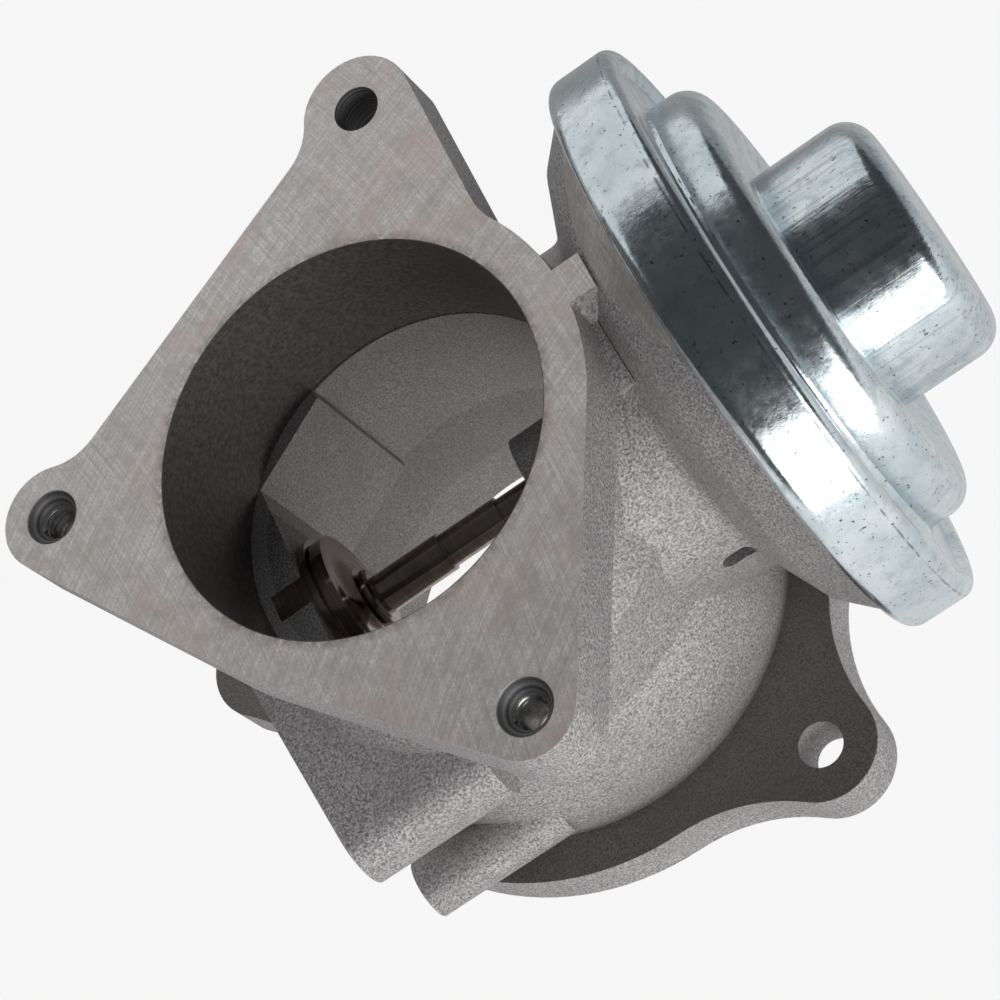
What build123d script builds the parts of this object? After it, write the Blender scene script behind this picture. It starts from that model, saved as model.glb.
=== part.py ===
from build123d import *
import math
import os

os.makedirs("parts", exist_ok=True)

# Vacuum-operated exhaust gas recirculation valve with a straight-through air duct.
# Millimetres. The origin is the centre of the lower flange's face, +Z runs up the duct
# to the upper flange, and the valve axis runs along +X towards the vacuum actuator.

# Air duct
duct_length = 72.5
bore_r = 28.5
lower_bore_r = 26.5
lower_bore_length = 10.0
tube_wall = 3.3
body_wall = 6.1
bulb_z = 16.5
bulb_swell = 3.1
waist_low = 10.6
waist_rise = 4.2

# Upper flange
upper_thick = 9.5
upper_top_ear = (21.4, 44.6)
upper_left_ear = (-42.8, 17.0)
upper_right_ear = (5.3, -48.9)
upper_top_ear_r = 8.2
upper_left_ear_r = 7.6
upper_right_ear_r = 7.0
flank_wall = 6.9
upper_flank_turn = 23.8
ear_blend_r = 9.0
plain_hole_r = 3.4
tapped_hole_r = 2.5
tapped_mouth_r = 4.0

# Lower flange
lower_thick = 8.0
lower_disc_r = 43.1
lower_ear_angles = (-60.8, 64.4, 156.9)
lower_ear_out = 6.6
lower_ear_r = 8.4
lower_blend_r = 28.0
seal_wall = 3.9
seal_section_r = 1.2
seal_clearance = 0.1

# Valve axis, seat and exhaust port
valve_z = 35.7
chamber_above = 12.8
chamber_below = 14.7
parting_width = 0.6
parting_depth = 0.7
seat_wall_in = 6.7
pad_step_x = -8.3
pad_height = 1.2
gas_face_in = 0.4
gas_block_depth = 23.0
gas_centre_r = 16.7
gas_bolt_y = 31.0
gas_ear_r = 6.7
gas_thread_depth = 14.0
side_rib_y = -32.5
side_rib_z = 15.0
side_rib_r = 4.5
port_r = 10.5
seat_bore_r = 9.8
seat_r = 12.4
seat_depth = 5.2
seat_proud = 1.4

# Valve head and stem
lift = 6.0
seated_gap = 0.3
head_r = 11.6
head_rim = 2.0
head_length = 3.0
head_neck_r = 5.4
stem_big_r = 3.0
stem_mid_r = 2.6
stem_r = 2.2
collar_r = 4.6
collar_thick = 1.5
stem_big_length = 11.2
stem_mid_length = 9.7
running_gap = 0.04

# Stem guide and its seal
guide_boss_r = 8.0
guide_boss_in = 16.5
bush_r = 5.0
bush_length = 17.0
seal_pocket_r = 5.8
stem_seal_thick = 3.0
wave_washer_thick = 1.2
retainer_thick = 1.2
boss_above_floor = 4.4

# Neck and bowl of the actuator, cast in one with the body
neck_start_x = 8.0
neck_out = 5.5
neck_r = 26.8
neck_wall = 4.0
wall = 3.0
bowl_depth = 9.9
bowl_bulge = (0.45, 0.63)
rim_step = 2.2
rim_wall = 5.4
rim_fit = 0.1
rim_chamfer = 1.2
vent_in = 2.3
vent_length = 5.0
vent_width = 2.8
gusset_y = (-2.6, 3.3)
gusset_reach = 10.1
gusset_depth = 14.0
web_drop = 2.5
web_reach = 3.0
rib_back = 1.4
rib_width = 2.8
rib_height = 3.4
rib_sweep = 24.0

# Pressed steel cover
sheet = 1.2
cover_r = 45.0
ring_depth = 10.8
lip_width = 2.4
lip_height = 1.2
step_in = 10.4
step_rise = 8.1
step_shoulder = 7.0
cap_sink = 1.5
cap_r = 18.8
cap_rise = 17.1

# Diaphragm, its plates and the spring
rubber = 0.9
bead_thick = 1.1
bead_width = 2.6
bead_in = 4.2
plate_step = 1.5
cup_in = 13.1
cup_height = 4.8
fold_in = 2.6
fold_width = 7.0
fold_depth = 2.8
diaphragm_in = 3.4
washer_r = 6.5
washer_thick = 1.0
nut_flats = 8.0
nut_thick = 4.0
stem_tail = 1.2
spring_wire_r = 0.9
spring_mean_r = 12.8
spring_turns = 5.5
spring_end_lap = 0.3
spring_seat_thick = 1.0

# Vacuum pipe, on the side of the cap that faces away from the upper flange
nipple_angle = -58.0
nipple_up = 8.0
nipple_r = 3.0
nipple_tip_chamfer = 0.5
nipple_bore_r = 1.5
nipple_collar_r = 4.2
nipple_shoulder_r = 3.2
nipple_reach = 16.0

# Worked-out radii and places of the casting
tube_r = bore_r + tube_wall
duct_r = bore_r + body_wall
bulb_r = duct_r + bulb_swell
upper_flank_x = upper_top_ear[0] + upper_top_ear_r
bulb_foot_r = math.sqrt(bulb_r**2 - bulb_z**2)
bulb_top_z = bulb_z + math.sqrt(bulb_r**2 - duct_r**2)
seal_mean_r = bore_r + seal_wall
lower_ear_places = [
    ((lower_disc_r + lower_ear_out) * math.cos(math.radians(angle)),
     (lower_disc_r + lower_ear_out) * math.sin(math.radians(angle)))
    for angle in lower_ear_angles
]
seat_wall_x = seat_wall_in - bore_r
pad_r = bore_r - pad_height
gas_face_x = gas_face_in - duct_r
guide_boss_x = bore_r - guide_boss_in
bush_top_x = guide_boss_x + bush_length
neck_end_x = bore_r + neck_out
bowl_floor_x = neck_end_x - 1.4
guide_boss_top_x = bowl_floor_x + boss_above_floor
bowl_inner_r = neck_r - neck_wall

# Worked-out radii and places of the actuator
cover_back_x = neck_end_x + bowl_depth + 0.1
cover_front_x = cover_back_x + ring_depth
flange_front_x = cover_front_x - lip_height
step_r = cover_r - step_in
step_front_x = flange_front_x + step_rise
cap_root_x = step_front_x - cap_sink
cap_end_x = cap_root_x + cap_rise
bowl_rim_r = cover_r - sheet - rim_fit
bowl_back_r = bowl_rim_r - rim_step
bowl_mouth_r = bowl_rim_r - rim_wall
bowl_rim_back_x = cover_back_x + sheet
bowl_rim_front_x = flange_front_x - sheet - bead_thick
bead_outer_r = cover_r - bead_in
bead_inner_r = bead_outer_r - bead_width
nipple_x = cap_root_x + nipple_up
cup_r = step_r - cup_in
fold_outer_r = step_r - fold_in
fold_inner_r = fold_outer_r - fold_width
diaphragm_centre_x = cover_back_x + diaphragm_in
fold_back_x = diaphragm_centre_x - fold_depth

# Worked-out places of the moving parts along the valve axis
seat_face_x = seat_wall_x + seat_proud
head_back_x = seat_face_x + seated_gap
head_top_x = head_back_x + head_length
stem_big_x = head_top_x + collar_thick
stem_mid_x = stem_big_x + stem_big_length
stem_thin_x = stem_mid_x + stem_mid_length
plate_top_x = diaphragm_centre_x - rubber / 2
cup_bottom_x = diaphragm_centre_x + rubber / 2
washer_bottom_x = cup_bottom_x + sheet
nut_bottom_x = washer_bottom_x + washer_thick
nut_top_x = nut_bottom_x + nut_thick
spring_top_x = cap_end_x - sheet - spring_seat_thick
seal_top_x = bush_top_x + stem_seal_thick
wave_top_x = seal_top_x + wave_washer_thick
retainer_top_x = wave_top_x + retainer_thick

# Two working planes: one along the valve axis, read as (x, radius), and one across it,
# read as (y, height above the axis)
valve_axis = Axis((0, 0, valve_z), (1, 0, 0))
along_valve = Plane(origin=(0, 0, valve_z), x_dir=(1, 0, 0), z_dir=(0, -1, 0))
across_valve = Plane(origin=(0, 0, valve_z), x_dir=(0, 1, 0), z_dir=(1, 0, 0))


def finish(piece, name):
    piece.part.label = name
    export_step(piece.part, "parts/" + name + ".step")


def lobe(centre, ear_r):
    """The flat outline that wraps the duct's ring and one ear."""
    with BuildSketch() as outline:
        Circle(duct_r)
        with Locations(centre):
            Circle(ear_r)
        make_hull()
    return outline.sketch


# Upper flange: two lobes that wrap the ring, and one straight flank cut across the third side
with BuildSketch(Plane.XY.offset(duct_length - upper_thick)) as upper_flange:
    add(lobe(upper_right_ear, upper_right_ear_r))
    add(lobe(upper_left_ear, upper_left_ear_r))
    with BuildLine():
        Polyline(
            (0, 0),
            (upper_flank_x, 0),
            (upper_flank_x, upper_top_ear[1]),
            (upper_top_ear[0], upper_top_ear[1] + upper_top_ear_r),
            (upper_left_ear[0], upper_left_ear[1] + upper_left_ear_r),
            close=True,
        )
    make_face()
    with Locations(Rotation(0, 0, upper_flank_turn) * Pos(0, bore_r + flank_wall)):
        Rectangle(200, 60, align=(Align.CENTER, Align.MIN), mode=Mode.SUBTRACT)
    with Locations(upper_top_ear):
        Circle(upper_top_ear_r)
    with Locations(upper_left_ear):
        Circle(upper_left_ear_r)
    offset(amount=ear_blend_r)
    offset(amount=-ear_blend_r)

# Exhaust inlet's face: a round middle and two bolt ears
with BuildSketch(across_valve.offset(gas_face_x)) as gas_outline:
    Circle(gas_centre_r)
    with Locations((-gas_bolt_y, 0), (gas_bolt_y, 0)):
        Circle(gas_ear_r)
    make_hull()

# Lower flange: a disc with three ears, blended by growing and shrinking the outline
with BuildSketch(Plane.XY) as lower_flange:
    Circle(lower_disc_r)
    with Locations(*lower_ear_places):
        Circle(lower_ear_r)
    offset(amount=lower_blend_r)
    offset(amount=-lower_blend_r)

with BuildPart() as body_casting:
    # Duct: a bulb at the foot, the thick body, a sloping waist and the thinner tube on top
    with BuildSketch(Plane.XZ):
        with BuildLine():
            ThreePointArc((bulb_foot_r, 0), (bulb_r, bulb_z), (duct_r, bulb_top_z))
            Polyline(
                (duct_r, bulb_top_z),
                (duct_r, valve_z + waist_low),
                (tube_r, valve_z + waist_low + waist_rise),
                (tube_r, duct_length),
                (0, duct_length),
                (0, 0),
                (bulb_foot_r, 0),
            )
        make_face()
    revolve(axis=Axis.Z)
    # Flanges
    add(upper_flange.sketch)
    extrude(amount=upper_thick)
    add(lower_flange.sketch)
    extrude(amount=lower_thick)
    # Exhaust inlet block, with the duct milled away in front of its face, and the rib
    extrude(gas_outline.sketch, amount=gas_block_depth)
    extrude(gas_outline.sketch, amount=-(bulb_r + gas_face_x + 1), mode=Mode.SUBTRACT)
    with BuildSketch(across_valve.offset(gas_face_x)):
        with Locations((side_rib_y, side_rib_z - valve_z)):
            Circle(side_rib_r)
    extrude(amount=gas_block_depth)
    # Neck and bowl
    with BuildSketch(along_valve):
        with BuildLine():
            flare = FilletPolyline(
                (neck_start_x, 0),
                (neck_start_x, neck_r),
                (neck_end_x, neck_r),
                (
                    neck_end_x + bowl_bulge[0] * bowl_depth,
                    neck_r + bowl_bulge[1] * (bowl_back_r - neck_r),
                ),
                (cover_back_x - 0.1, bowl_back_r),
                (bowl_rim_back_x, bowl_back_r),
                radius=[0.5, 2.5, 4.0, 0.8],
            )
            Polyline(
                flare @ 1,
                (bowl_rim_back_x, bowl_rim_r - rim_chamfer),
                (bowl_rim_back_x + rim_chamfer, bowl_rim_r),
                (bowl_rim_front_x - rim_chamfer, bowl_rim_r),
                (bowl_rim_front_x, bowl_rim_r - rim_chamfer),
                (bowl_rim_front_x, 0),
                flare @ 0,
            )
        make_face()
    revolve(axis=valve_axis)
    # Short rib round the top of the neck
    with BuildSketch(along_valve):
        with Locations((neck_end_x - rib_back, 0)):
            Rectangle(rib_width, neck_r + rib_height, align=(Align.MIN, Align.MIN))
    revolve(axis=valve_axis, revolution_arc=rib_sweep)
    # Tab of the upper flange, and the lower web that runs on from it to the bowl
    for top_z, end_x in (
        (duct_length, bore_r + gusset_reach),
        (duct_length - web_drop, bore_r + gusset_reach + web_reach),
    ):
        with BuildSketch(Plane.XY.offset(top_z)):
            with Locations((end_x, gusset_y[0])):
                Rectangle(
                    end_x - tube_r + wall / 2,
                    gusset_y[1] - gusset_y[0],
                    align=(Align.MAX, Align.MIN),
                )
        extrude(amount=-gusset_depth)
    # Bowl cavity
    with BuildSketch(along_valve):
        with BuildLine():
            Polyline(
                (bowl_floor_x, 0),
                (bowl_floor_x, bowl_inner_r),
                (neck_end_x + wall / 2, bowl_inner_r + wall / 2),
                (cover_back_x, bowl_mouth_r),
                (bowl_rim_front_x, bowl_mouth_r),
                (bowl_rim_front_x, 0),
                close=True,
            )
        make_face()
    revolve(axis=valve_axis, mode=Mode.SUBTRACT)
    # Bores, of which the lower one widens upwards, the parting groove, and the valve
    # chamber, which keeps a flat wall for the seat and a slanted pad beside it
    with BuildSketch(Plane.XZ):
        with BuildLine():
            Polyline(
                (0, 0),
                (lower_bore_r, 0),
                (lower_bore_r, lower_bore_length),
                (bore_r, valve_z - chamber_below),
                (0, valve_z - chamber_below),
                close=True,
            )
        make_face()
    revolve(axis=Axis.Z, mode=Mode.SUBTRACT)
    with BuildSketch(Plane.XY.offset(duct_length)):
        Circle(bore_r)
    extrude(amount=valve_z + chamber_above - duct_length, mode=Mode.SUBTRACT)
    with BuildSketch(Plane.XY.offset(valve_z + chamber_above)):
        Circle(bore_r + parting_depth)
    extrude(amount=-parting_width, mode=Mode.SUBTRACT)
    with BuildSketch(Plane.XY.offset(valve_z - chamber_below)):
        Circle(bore_r)
        with Locations((seat_wall_x, 0)):
            Rectangle(
                duct_r,
                2 * duct_r,
                align=(Align.MAX, Align.CENTER),
                mode=Mode.SUBTRACT,
            )
        with BuildLine():
            Polyline(
                (seat_wall_x, math.sqrt(bore_r**2 - seat_wall_x**2)),
                (pad_step_x, math.sqrt(pad_r**2 - pad_step_x**2)),
                (pad_step_x, duct_r),
                (seat_wall_x, duct_r),
                close=True,
            )
        make_face(mode=Mode.SUBTRACT)
    extrude(amount=chamber_above + chamber_below, mode=Mode.SUBTRACT)
    # Stem guide boss, bush hole and seal pocket
    with BuildSketch(across_valve.offset(guide_boss_x)):
        Circle(guide_boss_r)
    extrude(amount=guide_boss_top_x - guide_boss_x)
    with BuildSketch(across_valve.offset(guide_boss_x)):
        Circle(bush_r)
    extrude(amount=bush_length, mode=Mode.SUBTRACT)
    with BuildSketch(across_valve.offset(bush_top_x)):
        Circle(seal_pocket_r)
    extrude(amount=guide_boss_top_x - bush_top_x, mode=Mode.SUBTRACT)
    # Exhaust port, seat pocket and the two tapped holes of the inlet
    with BuildSketch(across_valve.offset(gas_face_x)):
        Circle(port_r)
    extrude(amount=seat_wall_x - gas_face_x, mode=Mode.SUBTRACT)
    with BuildSketch(across_valve.offset(seat_wall_x)):
        Circle(seat_r)
    extrude(amount=-seat_depth, mode=Mode.SUBTRACT)
    with BuildSketch(across_valve.offset(gas_face_x)):
        with Locations((-gas_bolt_y, 0), (gas_bolt_y, 0)):
            Circle(tapped_hole_r)
    extrude(amount=gas_thread_depth, mode=Mode.SUBTRACT)
    # Upper flange holes
    with Locations(Plane.XY.offset(duct_length)):
        with Locations(upper_top_ear):
            Hole(plain_hole_r, depth=upper_thick)
        with Locations(upper_left_ear, upper_right_ear):
            CounterSinkHole(tapped_hole_r, tapped_mouth_r, depth=upper_thick)
    # Lower flange holes and seal groove
    with BuildSketch(Plane.XY):
        with Locations(*lower_ear_places):
            Circle(plain_hole_r)
    extrude(amount=lower_thick, mode=Mode.SUBTRACT)
    with BuildSketch(Plane.XY):
        Circle(seal_mean_r + seal_section_r + seal_clearance)
        Circle(seal_mean_r - seal_section_r - seal_clearance, mode=Mode.SUBTRACT)
    extrude(amount=2 * seal_section_r, mode=Mode.SUBTRACT)
    # Vent slot through the neck, on the side that faces forward
    with BuildSketch(Plane.XZ.offset(neck_r + 1)):
        with Locations((neck_end_x - vent_in, valve_z)):
            SlotOverall(vent_length, vent_width)
    extrude(amount=-(neck_wall + 3), mode=Mode.SUBTRACT)
finish(body_casting, "body_casting")

with BuildPart() as duct_seal:
    with BuildSketch(Plane.XZ):
        with Locations((seal_mean_r, seal_section_r)):
            Circle(seal_section_r)
    revolve(axis=Axis.Z)
finish(duct_seal, "duct_seal")

with BuildPart() as valve_seat:
    with BuildSketch(across_valve.offset(seat_wall_x - seat_depth)):
        Circle(seat_r)
        Circle(seat_bore_r, mode=Mode.SUBTRACT)
    extrude(amount=seat_depth + seat_proud)
    chamfer(
        valve_seat.edges().filter_by(GeomType.CIRCLE).group_by(Axis.X)[-1].sort_by(
            SortBy.RADIUS
        )[0],
        length=0.8,
    )
finish(valve_seat, "valve_seat")

with BuildPart() as valve_head:
    with BuildSketch(along_valve):
        with BuildLine():
            Polyline(
                (head_top_x, stem_r),
                (head_back_x, stem_r),
                (head_back_x, head_r),
                (head_back_x + head_rim, head_r),
                (head_back_x + head_rim, head_r - 1.5),
            )
            ThreePointArc(
                (head_back_x + head_rim, head_r - 1.5),
                (head_back_x + head_rim + 0.3, head_neck_r + 1.4),
                (head_top_x, head_neck_r),
            )
            Line((head_top_x, head_neck_r), (head_top_x, stem_r))
        make_face()
    revolve(axis=valve_axis)
finish(valve_head, "valve_head")

with BuildPart() as stem_collar:
    with BuildSketch(across_valve.offset(head_top_x)):
        Circle(collar_r)
        Circle(stem_r, mode=Mode.SUBTRACT)
    extrude(amount=collar_thick)
    chamfer(stem_collar.edges().filter_by(GeomType.CIRCLE).sort_by(SortBy.RADIUS)[-2:], 0.4)
finish(stem_collar, "stem_collar")

with BuildPart() as valve_stem:
    with BuildSketch(along_valve):
        with BuildLine():
            Polyline(
                (head_back_x, 0),
                (head_back_x, stem_r),
                (stem_big_x, stem_r),
                (stem_big_x, stem_big_r),
                (stem_mid_x, stem_big_r),
                (stem_mid_x, stem_mid_r),
                (stem_thin_x, stem_mid_r),
                (stem_thin_x, stem_r),
                (nut_top_x + stem_tail, stem_r),
                (nut_top_x + stem_tail, 0),
                close=True,
            )
        make_face()
    revolve(axis=valve_axis)
    chamfer(
        valve_stem.edges().filter_by(GeomType.CIRCLE).sort_by(Axis.X)[-1], length=0.4
    )
finish(valve_stem, "valve_stem")

with BuildPart() as stem_guide_bush:
    with BuildSketch(across_valve.offset(guide_boss_x)):
        Circle(bush_r)
        Circle(stem_r + running_gap, mode=Mode.SUBTRACT)
    extrude(amount=bush_length)
finish(stem_guide_bush, "stem_guide_bush")

with BuildPart() as stem_seal:
    with BuildSketch(along_valve):
        with BuildLine():
            Polyline(
                (bush_top_x, stem_r + running_gap),
                (bush_top_x, seal_pocket_r),
                (seal_top_x, seal_pocket_r),
                (seal_top_x, seal_pocket_r - 1.2),
                (bush_top_x + 1.0, stem_r + 1.2),
                (seal_top_x - 0.6, stem_r + running_gap),
                close=True,
            )
        make_face()
    revolve(axis=valve_axis)
finish(stem_seal, "stem_seal")

with BuildPart() as wave_washer:
    with BuildSketch(across_valve.offset(seal_top_x)):
        Circle(seal_pocket_r - 0.2)
        Circle(stem_r + 1.5, mode=Mode.SUBTRACT)
    extrude(amount=wave_washer_thick)
finish(wave_washer, "wave_washer")

with BuildPart() as seal_retainer:
    with BuildSketch(across_valve.offset(wave_top_x)):
        Circle(seal_pocket_r)
        Circle(stem_r + 0.8, mode=Mode.SUBTRACT)
    extrude(amount=retainer_thick)
finish(seal_retainer, "seal_retainer")

with BuildPart() as diaphragm:
    bead_middle_x = bowl_rim_front_x + bead_thick / 2
    with BuildSketch(along_valve):
        with BuildLine():
            FilletPolyline(
                (diaphragm_centre_x, stem_r + rubber / 2),
                (diaphragm_centre_x, cup_r),
                (fold_back_x, fold_inner_r),
                (fold_back_x, fold_outer_r),
                (bead_middle_x, bead_inner_r - 1.4),
                (bead_middle_x, bead_inner_r + 1),
                radius=1.2,
            )
        trace(line_width=rubber)
        with Locations((bowl_rim_front_x, bead_inner_r)):
            Rectangle(bead_thick, bead_width, align=(Align.MIN, Align.MIN))
    revolve(axis=valve_axis)
finish(diaphragm, "diaphragm")

with BuildPart() as diaphragm_plate:
    with BuildSketch(across_valve.offset(plate_top_x - sheet)):
        Circle(cup_r - plate_step)
        Circle(stem_r, mode=Mode.SUBTRACT)
    extrude(amount=sheet)
    fillet(
        diaphragm_plate.edges().filter_by(GeomType.CIRCLE).sort_by(SortBy.RADIUS)[-2:],
        radius=sheet / 2.5,
    )
finish(diaphragm_plate, "diaphragm_plate")

with BuildPart() as diaphragm_cup:
    with BuildSketch(along_valve):
        with BuildLine():
            FilletPolyline(
                (cup_bottom_x + sheet / 2, stem_r + sheet / 2),
                (cup_bottom_x + sheet / 2, cup_r - sheet / 2),
                (diaphragm_centre_x + cup_height, cup_r - sheet / 2),
                radius=1.6,
            )
        trace(line_width=sheet)
        with Locations((cup_bottom_x, stem_r)):
            Rectangle(sheet, sheet, align=(Align.MIN, Align.MIN))
    revolve(axis=valve_axis)
finish(diaphragm_cup, "diaphragm_cup")

with BuildPart() as stem_washer:
    with BuildSketch(across_valve.offset(washer_bottom_x)):
        Circle(washer_r)
        Circle(stem_r, mode=Mode.SUBTRACT)
    extrude(amount=washer_thick)
finish(stem_washer, "stem_washer")

with BuildPart() as stem_nut:
    with BuildSketch(across_valve.offset(nut_bottom_x)):
        RegularPolygon(nut_flats / 2, 6, major_radius=False)
        Circle(stem_r, mode=Mode.SUBTRACT)
    extrude(amount=nut_thick)
finish(stem_nut, "stem_nut")

# The spring: an open coil between two closed end turns
spring_low_x = cup_bottom_x + sheet + spring_wire_r
spring_high_x = spring_top_x - spring_wire_r
coil_height = spring_high_x - spring_low_x - 2 * spring_end_lap
with BuildPart() as return_spring:
    with BuildLine() as coil:
        Helix(
            pitch=coil_height / spring_turns,
            height=coil_height,
            radius=spring_mean_r,
            center=(spring_low_x + spring_end_lap, 0, valve_z),
            direction=(1, 0, 0),
        )
    with BuildSketch(Plane(origin=coil.line @ 0, z_dir=coil.line % 0)):
        Circle(spring_wire_r)
    sweep(path=coil.line)
    for end_x in (spring_low_x, spring_high_x):
        with BuildSketch(along_valve):
            with Locations((end_x, spring_mean_r)):
                Circle(spring_wire_r)
        revolve(axis=valve_axis)
finish(return_spring, "return_spring")

with BuildPart() as spring_seat:
    with BuildSketch(across_valve.offset(spring_top_x)):
        Circle(spring_mean_r + 1.1)
        Circle(spring_mean_r - 5, mode=Mode.SUBTRACT)
    extrude(amount=spring_seat_thick)
finish(spring_seat, "spring_seat")

nipple_plane = Plane(
    origin=(nipple_x, 0, valve_z),
    x_dir=(1, 0, 0),
    z_dir=(
        0,
        math.cos(math.radians(nipple_angle)),
        math.sin(math.radians(nipple_angle)),
    ),
)

# The cover is one pressed sheet: its middle line, given the sheet's thickness and turned
half = sheet / 2
with BuildPart() as actuator_cover:
    with BuildSketch(along_valve):
        with BuildLine():
            FilletPolyline(
                (cover_back_x + half, bowl_back_r + half),
                (cover_back_x + half, cover_r - half),
                (cover_front_x - half, cover_r - half),
                (cover_front_x - half, cover_r - lip_width),
                (flange_front_x - half, cover_r - lip_width - lip_height),
                (flange_front_x - half, step_r - half),
                (step_front_x - half, step_r - half),
                (step_front_x - half, step_r - step_shoulder),
                (cap_root_x - half, cap_r + 2.0),
                (cap_root_x - half, cap_r - half),
                (cap_end_x - half, cap_r - half),
                (cap_end_x - half, 0),
                radius=[1.8, 1.3, 0.7, 0.7, 1.8, 3.6, 3.0, 1.0, 1.2, 4.0],
            )
        trace(line_width=sheet)
    revolve(axis=valve_axis)
    with BuildSketch(nipple_plane):
        Circle(nipple_r)
    extrude(amount=cap_r + 2, mode=Mode.SUBTRACT)
finish(actuator_cover, "actuator_cover")

with BuildPart() as vacuum_nipple:
    with BuildSketch(nipple_plane.offset(cap_r - sheet - 1.5)):
        Circle(nipple_r)
    extrude(amount=nipple_reach)
    tip_face = vacuum_nipple.faces().sort_by(Axis((0, 0, 0), nipple_plane.z_dir))[-1]
    chamfer(tip_face.edges(), nipple_tip_chamfer)
    for shoulder_r, shoulder_length in ((nipple_collar_r, 1.5), (nipple_shoulder_r, 2.5)):
        with BuildSketch(nipple_plane.offset(cap_r + 0.4)):
            Circle(shoulder_r)
        extrude(amount=shoulder_length)
    with BuildSketch(nipple_plane.offset(cap_r - sheet - 1.5)):
        Circle(nipple_bore_r)
    extrude(amount=nipple_reach, mode=Mode.SUBTRACT)
finish(vacuum_nipple, "vacuum_nipple")
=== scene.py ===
# %% [markdown]
# # Vacuum-operated exhaust gas recirculation valve
# The imported CAD model is the fixed frame of this scene: every size and place comes from it.
# The real valve is a blasted aluminium casting with milled flange faces, a bright zinc-plated
# steel cover on its side, and a dark steel valve that shows through the upper bore. The solids
# have the right shapes, so most of the work here is in their finishes. Two things are added: the
# threads in the tapped holes, and a merged, thinned copy of the spring.

# %% Load the frame
import bpy
import math
from mathutils import Matrix, Vector


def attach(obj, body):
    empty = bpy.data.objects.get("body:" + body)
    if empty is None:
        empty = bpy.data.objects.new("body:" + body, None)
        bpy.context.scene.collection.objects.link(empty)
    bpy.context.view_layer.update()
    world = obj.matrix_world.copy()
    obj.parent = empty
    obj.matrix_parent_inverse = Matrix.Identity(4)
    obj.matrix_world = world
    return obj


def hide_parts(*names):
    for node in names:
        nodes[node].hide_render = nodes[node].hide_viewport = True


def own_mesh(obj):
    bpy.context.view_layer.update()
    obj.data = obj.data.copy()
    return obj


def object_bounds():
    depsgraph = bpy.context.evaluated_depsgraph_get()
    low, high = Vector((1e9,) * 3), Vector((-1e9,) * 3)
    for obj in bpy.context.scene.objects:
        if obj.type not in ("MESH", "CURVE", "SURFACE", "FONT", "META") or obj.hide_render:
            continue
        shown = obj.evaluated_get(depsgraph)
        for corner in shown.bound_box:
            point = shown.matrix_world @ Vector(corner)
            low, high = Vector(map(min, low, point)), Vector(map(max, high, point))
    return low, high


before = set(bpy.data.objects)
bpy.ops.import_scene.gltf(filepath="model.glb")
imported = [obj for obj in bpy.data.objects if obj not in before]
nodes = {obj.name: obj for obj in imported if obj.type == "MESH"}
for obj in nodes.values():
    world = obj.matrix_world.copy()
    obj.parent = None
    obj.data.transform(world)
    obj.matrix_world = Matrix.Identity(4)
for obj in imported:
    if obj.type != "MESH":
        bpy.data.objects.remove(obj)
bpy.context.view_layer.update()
bpy.ops.object.select_all(action="DESELECT")
print("nodes", sorted(nodes))

# %% [markdown]
# ## Sizes that the finishes and pieces share
# The scene is in metres. The origin is the middle of the lower flange's face, +Z is up the duct
# and +X is the valve axis. A finish that changes from place to place needs to know where the
# milled planes and the holes are, and these are the same numbers as in the CAD model.

# %% Shared sizes
mm = 0.001
upper_face_z = 72.5 * mm
valve_axis_z = 35.7 * mm
gas_face_x = -34.2 * mm
upper_top_hole = (21.4 * mm, 44.6 * mm)
upper_left_hole = (-42.8 * mm, 17.0 * mm)
upper_right_hole = (5.3 * mm, -48.9 * mm)

# %% [markdown]
# ## Helpers for finishes
# Each finish is a node material. It could read a UV map, but a solid from CAD has none, and
# Object coordinates keep a pattern at its true size and in its place on the piece, also when the
# piece moves. These helpers add a node and join its inputs, which keeps each material short.

# %% Node helpers
def new_finish(name, metallic, roughness):
    """An empty Principled material; constants are set on the shader's own sockets."""
    finish = bpy.data.materials.new(name)
    finish.use_nodes = True
    shader = finish.node_tree.nodes["Principled BSDF"]
    shader.inputs["Metallic"].default_value = metallic
    shader.inputs["Roughness"].default_value = roughness
    return finish, shader


def add_node(finish, kind, links=None, **values):
    """A node of that kind; links join its inputs, values set its properties or inputs."""
    node = finish.node_tree.nodes.new(kind)
    for key, value in values.items():
        if hasattr(node, key):
            setattr(node, key, value)
        else:
            node.inputs[key.replace("_", " ")].default_value = value
    for socket, source in (links or {}).items():
        finish.node_tree.links.new(source, node.inputs[socket])
    return node


def object_point(finish):
    """The place on the piece, as an output socket."""
    return add_node(finish, "ShaderNodeTexCoord").outputs["Object"]


def noise(finish, point, scale, detail=4.0, roughness=0.6):
    """Noise as a 0 to 1 number."""
    node = add_node(finish, "ShaderNodeTexNoise", {"Vector": point})
    node.inputs["Scale"].default_value = scale
    node.inputs["Detail"].default_value = detail
    node.inputs["Roughness"].default_value = roughness
    return node.outputs["Fac"]


def remap(finish, source, low, high, out_low=0.0, out_high=1.0):
    """source taken from low..high to out_low..out_high, held at the ends."""
    node = add_node(finish, "ShaderNodeMapRange", {"Value": source})
    node.inputs["From Min"].default_value = low
    node.inputs["From Max"].default_value = high
    node.inputs["To Min"].default_value = out_low
    node.inputs["To Max"].default_value = out_high
    return node.outputs["Result"]


def blend_colour(finish, amount, first, second):
    """first where amount is 0, second where it is 1; each a colour or a socket."""
    node = add_node(finish, "ShaderNodeMix", data_type="RGBA")
    finish.node_tree.links.new(amount, node.inputs["Factor"])
    for socket, value in (("A", first), ("B", second)):
        target = [i for i in node.inputs if i.name == socket and i.type == "RGBA"][0]
        if isinstance(value, tuple):
            target.default_value = (*value, 1.0)
        else:
            finish.node_tree.links.new(value, target)
    return [o for o in node.outputs if o.type == "RGBA"][0]


print("node helpers ready")

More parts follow.
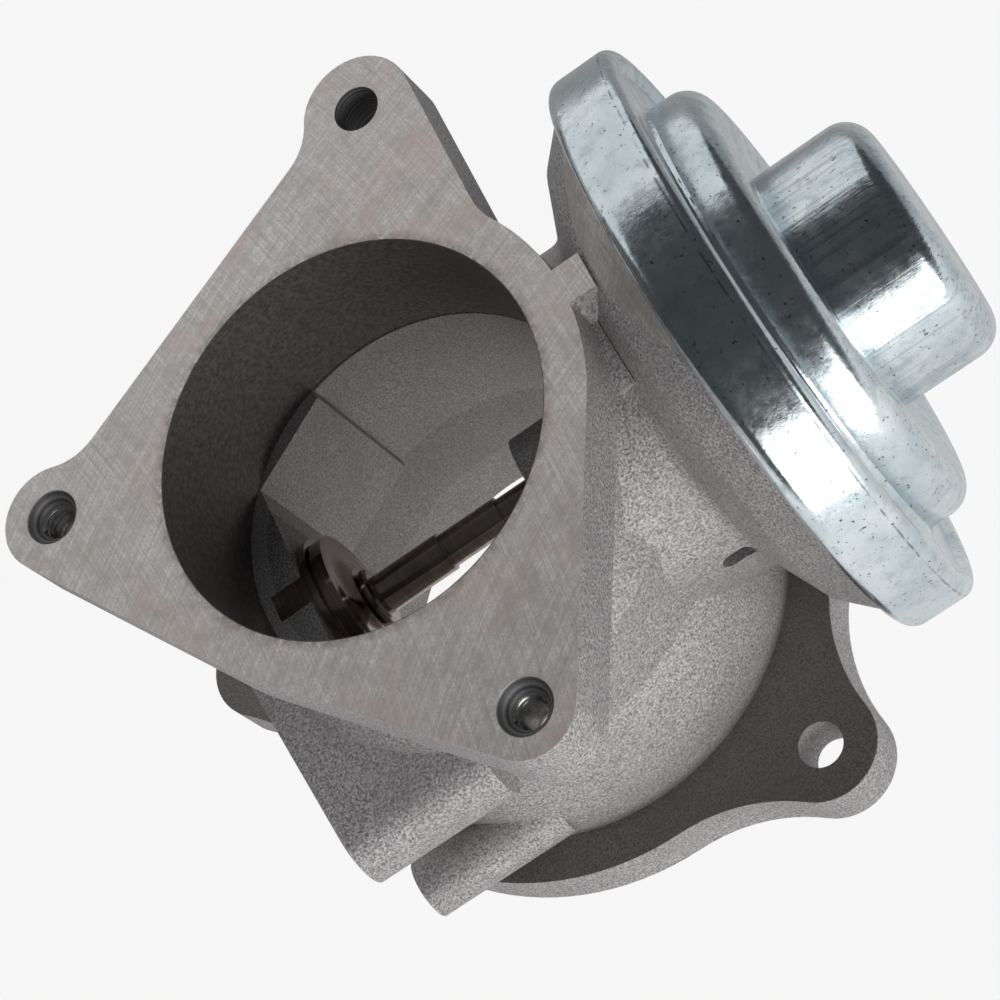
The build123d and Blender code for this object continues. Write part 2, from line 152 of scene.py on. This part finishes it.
# %% [markdown]
# ## Arithmetic on sockets
# Where a finish changes is worked out from the place on the piece, so a few more helpers do sums
# on sockets: a step of arithmetic, a product, and the distance from an axis along Z.

# %% Arithmetic helpers
def number(finish, operation, first, second=0.0, third=0.0):
    """One step of arithmetic on numbers or sockets."""
    node = add_node(finish, "ShaderNodeMath", operation=operation)
    for place, value in enumerate((first, second, third)):
        if isinstance(value, (int, float)):
            node.inputs[place].default_value = value
        else:
            finish.node_tree.links.new(value, node.inputs[place])
    return node.outputs[0]


def product(finish, first, second):
    return number(finish, "MULTIPLY", first, second)


def either(finish, first, second):
    """1 where one of two masks is 1."""
    return number(finish, "MAXIMUM", first, second)


def outside(finish, mask):
    """1 where the mask is 0."""
    return number(finish, "SUBTRACT", 1.0, mask)


def out_from(finish, split, axis_x, axis_y):
    """Distance from an upright axis through that x and y."""
    out_x = number(finish, "SUBTRACT", split.outputs["X"], axis_x)
    out_y = number(finish, "SUBTRACT", split.outputs["Y"], axis_y)
    squares = number(finish, "ADD", product(finish, out_x, out_x), product(finish, out_y, out_y))
    return number(finish, "SQRT", squares)


print("arithmetic helpers ready")

# %% [markdown]
# ## Giving a finish to a node
# A colour, a roughness or a relief is joined to the shader, and the finish is then put on every
# material slot of a CAD node. The node's mesh is left as it is.

# %% Shader and slot helpers
def feed(finish, source, shader, socket):
    finish.node_tree.links.new(source, shader.inputs[socket])


def bump(finish, shader, height, strength, distance):
    """Relief from a height socket, joined to the shader's normal."""
    node = add_node(finish, "ShaderNodeBump", {"Height": height})
    node.inputs["Strength"].default_value = strength
    node.inputs["Distance"].default_value = distance
    feed(finish, node.outputs["Normal"], shader, "Normal")


def dress(node_name, finish):
    """Puts a finish on every slot of a CAD node."""
    piece = nodes[node_name]
    if not piece.data.materials:
        piece.data.materials.append(finish)
    for place in range(len(piece.material_slots)):
        piece.material_slots[place].material = finish


print("slot helpers ready")

# %% [markdown]
# ## Where the casting is cast, milled, turned and drilled
# The casting is one piece of aluminium with several skins: grit-blasted outside, milled on its
# flange faces and turned in its upper bore. It could have a material for each, given face by
# face, but a CAD node's slots are fixed, so one material holds all the skins and picks them by
# place. A mask is 1 where its skin shows.

# %% Masks of the casting
bore_radius = 28.5 * mm
chamber_top_z = 48.5 * mm
plane_reach = 0.05 * mm

casting, casting_shader = new_finish("cast_aluminium", 0.45, 0.6)
casting_point = object_point(casting)
casting_split = add_node(casting, "ShaderNodeSeparateXYZ", {"Vector": casting_point})
height = casting_split.outputs["Z"]
from_axis = out_from(casting, casting_split, 0.0, 0.0)
near_top = number(casting, "GREATER_THAN", height, upper_face_z - plane_reach)
near_foot = number(casting, "LESS_THAN", height, plane_reach)
near_port = number(casting, "COMPARE", casting_split.outputs["X"], gas_face_x, 0.06 * mm)
is_milled = either(casting, either(casting, near_top, near_foot), near_port)
in_bore = number(casting, "LESS_THAN", from_axis, bore_radius + 0.1 * mm)
above_chamber = number(casting, "GREATER_THAN", height, chamber_top_z)
is_bored = product(casting, in_bore, above_chamber)
print("masks ready, bore", bore_radius, "chamber top", chamber_top_z)

# %% [markdown]
# ## Blasted skin
# Grit leaves the casting matt grey, with a fine grain that catches the light, dark pits and
# larger dull patches. Three noises of different sizes give these, from coarse to fine, because
# one noise alone looks like printed paper.

# %% Blasted skin
grain = noise(casting, casting_point, 2900.0, 2.0, 0.6)
grit = noise(casting, casting_point, 5200.0, 2.0, 0.6)
patches = noise(casting, casting_point, 60.0, 4.0, 0.6)
is_patch = remap(casting, patches, 0.42, 0.68, 0.0, 0.4)
is_pit = remap(casting, grit, 0.62, 0.75, 0.0, 0.6)
is_grain = remap(casting, grain, 0.34, 0.66)
blasted = blend_colour(casting, is_grain, (0.24, 0.225, 0.225), (0.82, 0.795, 0.795))
blasted = blend_colour(casting, is_patch, blasted, (0.38, 0.36, 0.36))
blasted = blend_colour(casting, is_pit, blasted, (0.16, 0.15, 0.15))
print("blasted skin ready")

# %% [markdown]
# ## Tool lines
# A face mill leaves fine arcs, and a second pass crosses the first. The distance from a point
# far off the part, fed to noise, is such a set of arcs. A little of the place itself is added,
# so that a line fades and changes along its way.

# %% Tool lines
def arc_lines(middle_x, middle_y, scale):
    """Fine lines on circles round a far point, as a cutter leaves them."""
    far = out_from(casting, casting_split, middle_x, middle_y)
    way = add_node(casting, "ShaderNodeCombineXYZ", {"X": far})
    wander = add_node(casting, "ShaderNodeVectorMath", operation="SCALE")
    casting.node_tree.links.new(casting_point, wander.inputs[0])
    wander.inputs["Scale"].default_value = 0.02
    along = add_node(casting, "ShaderNodeVectorMath", operation="ADD")
    casting.node_tree.links.new(way.outputs[0], along.inputs[0])
    casting.node_tree.links.new(wander.outputs[0], along.inputs[1])
    return noise(casting, along.outputs[0], scale, 2.0, 0.6)


tool_arcs = arc_lines(0.11, -0.16, 2600.0)
cross_arcs = arc_lines(-0.2, -0.02, 3600.0)
tool_lines = number(casting, "ADD", product(casting, tool_arcs, 0.5), product(casting, cross_arcs, 0.5))
print("tool lines ready")

# %% [markdown]
# ## Milled skin
# The milled faces are flat and bright, with the tool lines, pores where the cutter opened the
# casting, warm stains, and a dark worn rim round the bore. Each is a layer that is blended over
# the one before, with a noise as its mask.

# %% Milled skin
stains = noise(casting, casting_point, 85.0, 5.0, 0.65)
mottle = noise(casting, casting_point, 700.0, 4.0, 0.75)
cloud = noise(casting, casting_point, 190.0, 5.0, 0.7)
milled = blend_colour(
    casting, remap(casting, tool_lines, 0.36, 0.64), (0.60, 0.58, 0.555), (0.97, 0.955, 0.935)
)
for source, low, high, most, tint in (
    (grain, 0.42, 0.66, 0.55, (0.55, 0.525, 0.51)),
    (mottle, 0.46, 0.66, 0.5, (0.54, 0.5, 0.47)),
    (cloud, 0.48, 0.66, 0.6, (0.55, 0.48, 0.44)),
    (stains, 0.5, 0.68, 0.55, (0.76, 0.6, 0.56)),
    (grit, 0.64, 0.74, 0.4, (0.22, 0.20, 0.19)),
):
    milled = blend_colour(casting, remap(casting, source, low, high, 0.0, most), milled, tint)
rim = remap(casting, from_axis, bore_radius, bore_radius + 1.6 * mm, 0.75, 0.0)
rim = product(casting, rim, remap(casting, mottle, 0.35, 0.6))
milled = blend_colour(casting, rim, milled, (0.27, 0.225, 0.205))
print("milled skin ready")

# %% [markdown]
# ## Bore, chamber and lower flange
# The turned bore is coloured dark, as painted shade inside it. The chamber wall below it is coloured
# paler, as painted light, and the lower flange's top and the body's foot just above it are darkened
# as painted shade. The chamber's mask is a thin shell at the bore's radius, which leaves out the
# guide boss and the body's outer skin.

# %% Bore, chamber and lower flange
lower_flange_top_z = 8 * mm
fillet_reach = 3.5 * mm
turning = noise(casting, casting_point, 1500.0, 3.0, 0.6)
# painted shade: the turned bore is coloured very dark for the shade inside it, with turning rings over it
shaded_bore = blend_colour(casting, remap(casting, turning, 0.35, 0.65), (0.08, 0.073, 0.07), (0.18, 0.165, 0.16))
on_duct_wall = number(casting, "COMPARE", from_axis, bore_radius - 1.0 * mm, 1.3 * mm)
in_chamber = product(casting, on_duct_wall, outside(casting, above_chamber))
# painted light: the chamber wall is coloured paler for light that reaches it through the bore
painted_chamber_light = blend_colour(casting, remap(casting, grain, 0.3, 0.66), (0.46, 0.44, 0.435), (0.95, 0.92, 0.91))
painted_chamber_light = blend_colour(casting, is_patch, painted_chamber_light, (0.55, 0.52, 0.51))
blasted = blend_colour(casting, in_chamber, blasted, painted_chamber_light)
# painted shade: the lower flange's top and the body's foot just above it are darkened, fading out upward
on_foot = number(casting, "GREATER_THAN", height, lower_flange_top_z - 0.15 * mm)
flange_shade_fade = remap(casting, height, lower_flange_top_z, lower_flange_top_z + fillet_reach, 0.72, 0.0)
painted_flange_shade = product(casting, product(casting, on_foot, flange_shade_fade), outside(casting, on_duct_wall))
blasted = blend_colour(casting, painted_flange_shade, blasted, (0.13, 0.115, 0.105))
print("bore, chamber and flange skins ready")

# %% [markdown]
# ## Drilled holes
# The upper flange's hole walls are coloured dark, as painted shade inside the holes, with rings from
# the drill. A hole's mask is all that lies near its axis, apart from the milled face, and the rings are
# noise along Z only.

# %% Drilled holes
tapped_reach = 4.05 * mm
plain_reach = 3.45 * mm
in_hole = 0.0
for hole, reach in (
    (upper_left_hole, tapped_reach),
    (upper_right_hole, tapped_reach),
    (upper_top_hole, plain_reach),
):
    from_hole = out_from(casting, casting_split, *hole)
    in_hole = either(casting, in_hole, number(casting, "LESS_THAN", from_hole, reach))
in_hole = product(casting, in_hole, outside(casting, near_top))
drill_rings = add_node(casting, "ShaderNodeCombineXYZ", {"Z": height})
rings = noise(casting, drill_rings.outputs[0], 2600.0, 2.0, 0.6)
# painted shade: the hole walls are coloured near black for the shade inside the holes, with drill rings
drilled = blend_colour(casting, remap(casting, rings, 0.4, 0.62), (0.10, 0.10, 0.105), (0.34, 0.335, 0.34))
print("drilled skin ready")

# %% [markdown]
# ## The casting's skins together
# The skins are laid over each other in the order in which they are made: cast, milled, drilled,
# turned. Machined skin is smoother and more of a mirror than cast skin, so roughness, metal and
# relief follow the same masks.

# %% Casting finish
colour = blend_colour(casting, is_milled, blasted, milled)
colour = blend_colour(casting, in_hole, colour, drilled)
colour = blend_colour(casting, is_bored, colour, shaded_bore)
feed(casting, colour, casting_shader, "Base Color")
feed(casting, remap(casting, is_milled, 0.0, 1.0, 0.45, 0.62), casting_shader, "Metallic")
gloss = remap(casting, is_milled, 0.0, 1.0, 0.58, 0.4)
gloss = number(casting, "SUBTRACT", gloss, product(casting, is_bored, 0.12))
feed(casting, gloss, casting_shader, "Roughness")
smooth = either(casting, either(casting, is_milled, product(casting, is_bored, 0.7)), in_hole)
relief = product(casting, grain, remap(casting, smooth, 0.0, 1.0, 1.0, 0.12))
ridges = product(casting, tool_lines, product(casting, is_milled, 0.12))
bump(casting, casting_shader, number(casting, "ADD", relief, ridges), 0.9, 0.13 * mm)
dress("body_casting", casting)
print("casting dressed")

# %% [markdown]
# ## Bright zinc plate
# The cover is drawn from sheet and plated: blue-white and glossy, with cloudy patches and small
# dark pits. Its seam with the bowl is a thin dark line in places, and the press has left draw
# lines along the cap's wall, which are noise that is stretched along X.

# %% Zinc colour
cap_root_x = 60.2 * mm
cover_seam_x = 53.2 * mm
zinc, zinc_shader = new_finish("zinc_plate", 1.0, 0.25)
zinc_point = object_point(zinc)
zinc_split = add_node(zinc, "ShaderNodeSeparateXYZ", {"Vector": zinc_point})
clouds = noise(zinc, zinc_point, 85.0, 5.0, 0.65)
blotches = noise(zinc, zinc_point, 420.0, 4.0, 0.65)
specks = noise(zinc, zinc_point, 1500.0, 2.0, 0.6)
plate = blend_colour(zinc, remap(zinc, clouds, 0.35, 0.7), (0.58, 0.67, 0.71), (0.84, 0.90, 0.915))
plate = blend_colour(zinc, remap(zinc, blotches, 0.5, 0.72, 0.0, 0.55), plate, (0.42, 0.48, 0.52))
plate = blend_colour(zinc, remap(zinc, specks, 0.645, 0.72, 0.0, 0.85), plate, (0.06, 0.065, 0.07))
from_seam = number(zinc, "SUBTRACT", zinc_split.outputs["X"], cover_seam_x)
from_seam = number(zinc, "ABSOLUTE", from_seam)
seam = remap(zinc, from_seam, 0.06 * mm, 0.22 * mm, 1.0, 0.0)
seam = product(zinc, seam, remap(zinc, blotches, 0.42, 0.56))
plate = blend_colour(zinc, product(zinc, seam, 0.7), plate, (0.12, 0.13, 0.135))
stretched = add_node(zinc, "ShaderNodeMapping", {"Vector": zinc_point})
stretched.inputs["Scale"].default_value = (0.025, 1.0, 1.0)
draw_lines = noise(zinc, stretched.outputs[0], 1500.0, 3.0, 0.6)
on_cap = remap(zinc, zinc_split.outputs["X"], cap_root_x, cap_root_x + 2 * mm)
streaks = product(zinc, remap(zinc, draw_lines, 0.5, 0.66), on_cap)
plate = blend_colour(zinc, product(zinc, streaks, 0.5), plate, (0.30, 0.33, 0.36))
feed(zinc, plate, zinc_shader, "Base Color")
print("zinc colour ready")

# %% [markdown]
# ## The cover's relief
# Plated sheet is never quite flat. A faint orange peel breaks up its reflections, and on the cap
# the draw lines can be felt too. This is too fine for the mesh, so it is bump.

# %% Zinc relief
peel = number(zinc, "ADD", product(zinc, blotches, 1.6), product(zinc, clouds, 4.0))
line_depth = number(zinc, "ADD", product(zinc, on_cap, 1.2), 0.15)
relief = number(zinc, "ADD", peel, product(zinc, draw_lines, line_depth))
feed(zinc, remap(zinc, blotches, 0.35, 0.7, 0.14, 0.3), zinc_shader, "Roughness")
bump(zinc, zinc_shader, relief, 0.35, 0.07 * mm)
dress("actuator_cover", zinc)
print("cover dressed")

# %% [markdown]
# ## Turned metal
# The valve is dark heat-stained steel, the plates inside the actuator are plain plated steel, the
# guide bush is bronze and the hose pipe is brass. All are turned on the valve axis or pressed,
# so one recipe serves them: fine rings across X, with stains over them.

# %% Turned metal
def turned_metal(name, dark, light, roughness):
    """Metal with fine rings round the valve axis."""
    finish, shader = new_finish(name, 1.0, roughness)
    point = object_point(finish)
    stretched = add_node(finish, "ShaderNodeMapping", {"Vector": point})
    stretched.inputs["Scale"].default_value = (1.0, 0.02, 0.02)
    rings = noise(finish, stretched.outputs[0], 2400.0, 2.0, 0.5)
    stain = noise(finish, point, 160.0, 3.0, 0.6)
    colour = blend_colour(finish, remap(finish, rings, 0.3, 0.7), dark, light)
    shade = tuple(0.6 * level for level in dark)
    colour = blend_colour(finish, remap(finish, stain, 0.5, 0.75, 0.0, 0.5), colour, shade)
    feed(finish, colour, shader, "Base Color")
    bump(finish, shader, rings, 0.08, 0.02 * mm)
    return finish


valve_steel = turned_metal("valve_steel", (0.33, 0.27, 0.24), (0.5, 0.43, 0.39), 0.12)
plated_steel = turned_metal("plated_steel", (0.42, 0.43, 0.45), (0.6, 0.61, 0.63), 0.35)
bronze = turned_metal("bush_bronze", (0.35, 0.21, 0.09), (0.6, 0.4, 0.2), 0.4)
brass = turned_metal("nipple_brass", (0.5, 0.36, 0.14), (0.74, 0.57, 0.27), 0.3)
for node_name in ("valve_head", "valve_stem", "stem_collar", "valve_seat"):
    dress(node_name, valve_steel)
for node_name in (
    "wave_washer",
    "seal_retainer",
    "return_spring",
    "spring_seat",
    "diaphragm_plate",
    "diaphragm_cup",
    "stem_washer",
    "stem_nut",
):
    dress(node_name, plated_steel)
dress("stem_guide_bush", bronze)
dress("vacuum_nipple", brass)
print("metal nodes dressed")

# %% [markdown]
# ## Rubber
# The duct seal, the stem's seal and the diaphragm are black moulded rubber with a faint grey
# bloom, which is a soft noise in both colour and relief.

# %% Rubber
rubber, rubber_shader = new_finish("rubber", 0.0, 0.55)
bloom = noise(rubber, object_point(rubber), 300.0, 4.0, 0.6)
black = blend_colour(rubber, bloom, (0.018, 0.018, 0.02), (0.05, 0.05, 0.052))
feed(rubber, black, rubber_shader, "Base Color")
bump(rubber, rubber_shader, bloom, 0.3, 0.05 * mm)
for node_name in ("duct_seal", "stem_seal", "diaphragm"):
    dress(node_name, rubber)
print("rubber nodes dressed")

# %% [markdown]
# ## Return spring
# The spring sits between the moving cup and the seat in the cap, so it is squeezed as the valve
# opens, which a rigid node can't show. A copy of the node, merged and thinned, stands for it and is
# attached to the housing.

# %% Spring
kept_share = 0.2
bpy.ops.object.select_all(action="DESELECT")
nodes["return_spring"].select_set(True)
bpy.context.view_layer.objects.active = nodes["return_spring"]
bpy.ops.object.duplicate()
coil = bpy.context.object
coil.name = "spring_coil"
bpy.ops.object.mode_set(mode="EDIT")
bpy.ops.mesh.select_all(action="SELECT")
bpy.ops.mesh.remove_doubles(threshold=0.002 * mm)
bpy.ops.object.mode_set(mode="OBJECT")
thinning = coil.modifiers.new("thinning", "DECIMATE")
thinning.ratio = kept_share
bpy.ops.object.modifier_apply(modifier="thinning")
bpy.ops.object.shade_smooth_by_angle(angle=math.radians(60))
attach(coil, "housing")
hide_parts("return_spring")
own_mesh(coil)

# %% [markdown]
# ## Bright cut metal for the threads
# A thread is bright cut metal, and the drilled wall behind it is coloured dark as painted shade; that
# contrast is what makes it readable at this size. Its crests are worn in spots.

# %% Thread finish
thread_metal, thread_shader = new_finish("cut_thread", 1.0, 0.22)
worn = noise(thread_metal, object_point(thread_metal), 900.0, 3.0, 0.6)
crest = blend_colour(
    thread_metal, remap(thread_metal, worn, 0.35, 0.65), (0.55, 0.53, 0.5), (0.92, 0.9, 0.87)
)
feed(thread_metal, crest, thread_shader, "Base Color")
bump(thread_metal, thread_shader, worn, 0.2, 0.03 * mm)
print("thread finish ready")

# %% [markdown]
# ## Screw threads
# The tapped holes are plain in the CAD model. A thread could be a texture, but it would vanish
# at the rim, so one tooth is drawn as a small rounded wedge and wound down the hole by a screw
# modifier, with its base just inside the hole's wall.

# %% Threads
thread_pitch = 1.0 * mm
hole_radius = 2.5 * mm
tooth = ((0.06, -0.42), (-0.26, -0.17), (-0.4, 0.0), (-0.26, 0.17), (0.06, 0.42))


def wind_thread(name, mouth, inward, depth):
    """A thread's ridge that starts at mouth and winds along inward for depth."""
    bpy.ops.object.select_all(action="DESELECT")
    bpy.ops.mesh.primitive_circle_add(vertices=len(tooth), radius=0.36 * mm, location=(0, 0, 0))
    ridge = bpy.context.object
    ridge.name = name
    bpy.ops.object.mode_set(mode="EDIT")
    bpy.ops.mesh.select_all(action="SELECT")
    bpy.ops.transform.rotate(value=math.pi / 2, orient_axis="X", center_override=(0, 0, 0))
    bpy.ops.object.mode_set(mode="OBJECT")
    for corner, place in zip(ridge.data.vertices, tooth):
        corner.co = (hole_radius + place[0] * mm, 0, place[1] * mm)
    screw = ridge.modifiers.new("wind", "SCREW")
    screw.axis = "Z"
    screw.angle = 2 * math.pi
    screw.screw_offset = thread_pitch
    screw.iterations = int(depth / thread_pitch)
    screw.steps = 40
    screw.render_steps = 40
    screw.use_normal_calculate = True
    bpy.ops.object.modifier_apply(modifier="wind")
    turn = Vector(inward).to_track_quat("Z", "Y").to_matrix().to_4x4()
    ridge.matrix_world = Matrix.Translation(mouth) @ turn
    bpy.ops.object.transform_apply(location=True, rotation=True, scale=True)
    bpy.ops.object.shade_smooth_by_angle(angle=math.radians(75))
    ridge.data.materials.append(thread_metal)
    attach(ridge, "housing")
    return ridge


upper_mouth_z = upper_face_z - 2 * mm
inlet_mouth_x = gas_face_x + 0.6 * mm
for name, mouth, inward, depth in (
    ("left_thread", (*upper_left_hole, upper_mouth_z), (0, 0, -1), 7 * mm),
    ("right_thread", (*upper_right_hole, upper_mouth_z), (0, 0, -1), 7 * mm),
    ("exhaust_front_thread", (inlet_mouth_x, -31 * mm, valve_axis_z), (1, 0, 0), 12 * mm),
    ("exhaust_back_thread", (inlet_mouth_x, 31 * mm, valve_axis_z), (1, 0, 0), 12 * mm),
):
    ridge = wind_thread(name, mouth, inward, depth)
    print(name, len(ridge.data.polygons), "faces")

# %% [markdown]
# ## Floor
# The floor is pale and shows almost white to the camera, through the Light Path node, so that no
# extra light falls on the object. A tenth of its shader stays, which keeps the object's shadow.
# Metal sees the floor too, darker towards the back, as bare plate does in a studio.

# %% Floor
white_share = 0.9
low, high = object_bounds()
bpy.ops.object.select_all(action="DESELECT")
bpy.ops.mesh.primitive_plane_add(size=6.0, location=(0, 0, low[2] - 0.3 * mm))
floor = bpy.context.object
floor.name = "floor"
floor_paint, floor_shader = new_finish("floor_paint", 0.0, 0.8)
floor_shader.inputs["Base Color"].default_value = (0.8, 0.8, 0.8, 1.0)
tree = floor_paint.node_tree
floor_split = add_node(floor_paint, "ShaderNodeSeparateXYZ", {"Vector": object_point(floor_paint)})
rays = add_node(floor_paint, "ShaderNodeLightPath")
mirrored = remap(floor_paint, floor_split.outputs["Y"], -0.12, 0.15, 0.95, 0.3)
glossy_level = product(floor_paint, rays.outputs["Is Glossy Ray"], mirrored)
seen = either(floor_paint, rays.outputs["Is Camera Ray"], rays.outputs["Is Transmission Ray"])
white = add_node(floor_paint, "ShaderNodeEmission")
white.inputs["Color"].default_value = (1.0, 1.0, 1.0, 1.0)
tree.links.new(either(floor_paint, seen, glossy_level), white.inputs["Strength"])
mixed = add_node(floor_paint, "ShaderNodeMixShader")
shown = either(floor_paint, seen, rays.outputs["Is Glossy Ray"])
tree.links.new(product(floor_paint, shown, white_share), mixed.inputs["Fac"])
tree.links.new(floor_shader.outputs[0], mixed.inputs[1])
tree.links.new(white.outputs[0], mixed.inputs[2])
tree.links.new(mixed.outputs[0], tree.nodes["Material Output"].inputs["Surface"])
floor.data.materials.append(floor_paint)
print("floor at", round(floor.location.z / mm, 2), "mm")

# %% [markdown]
# ## Light
# The photograph has a strong, low, wide light from the front and a weaker one high at the back,
# in dim surroundings. Two soft panels and a faint world give the same bright streaks on the
# zinc. A panel's power is worked out from how bright its face should look.

# %% World and lamps
world = bpy.data.worlds.new("studio")
bpy.context.scene.world = world
world.use_nodes = True
world.node_tree.nodes["Background"].inputs["Color"].default_value = (0.93, 0.97, 1.0, 1.0)
world.node_tree.nodes["Background"].inputs["Strength"].default_value = 0.06


def soft_lamp(name, place, aim, width, height, level):
    """A lamp panel at place, facing aim, whose face looks as bright as level."""
    data = bpy.data.lights.new(name, "AREA")
    data.shape = "RECTANGLE"
    data.size = width
    data.size_y = height
    data.energy = level * math.pi * width * height
    lamp = bpy.data.objects.new(name, data)
    bpy.context.collection.objects.link(lamp)
    lamp.location = place
    lamp.rotation_euler = (Vector(aim) - Vector(place)).to_track_quat("-Z", "Y").to_euler()
    return lamp


middle = (0.01, 0.0, 0.035)
soft_lamp("front_lamp", (0.22, -0.85, 0.25), middle, 1.1, 0.5, 2.8)
soft_lamp("back_lamp", (-0.1, 0.66, 0.42), middle, 1.5, 0.95, 0.72)
print("two lamps placed")

# %% [markdown]
# ## Camera
# The camera's place and lens were found by fitting the round edges of the bore, the flange holes
# and the cover to their ellipses in the photograph. Its three axes are written as they came out
# of that fit, because the picture is rolled and no simple aim gives it.

# %% Camera
camera_data = bpy.data.cameras.new("camera")
camera_data.sensor_width = 36.0
camera_data.lens = 118.7
camera = bpy.data.objects.new("camera", camera_data)
bpy.context.collection.objects.link(camera)
camera_right = Vector((0.81206, -0.38460, -0.43891))
camera_up = Vector((0.55077, 0.75371, 0.35857))
camera_back = Vector((0.19291, -0.53292, 0.82388))
camera_place = Vector((95.34, -245.29, 418.19)) * mm
camera_turn = Matrix((camera_right, camera_up, camera_back)).transposed().to_4x4()
camera.matrix_world = Matrix.Translation(camera_place) @ camera_turn
bpy.context.scene.camera = camera
bpy.context.scene.view_settings.view_transform = "Standard"
print("camera at", camera_place)
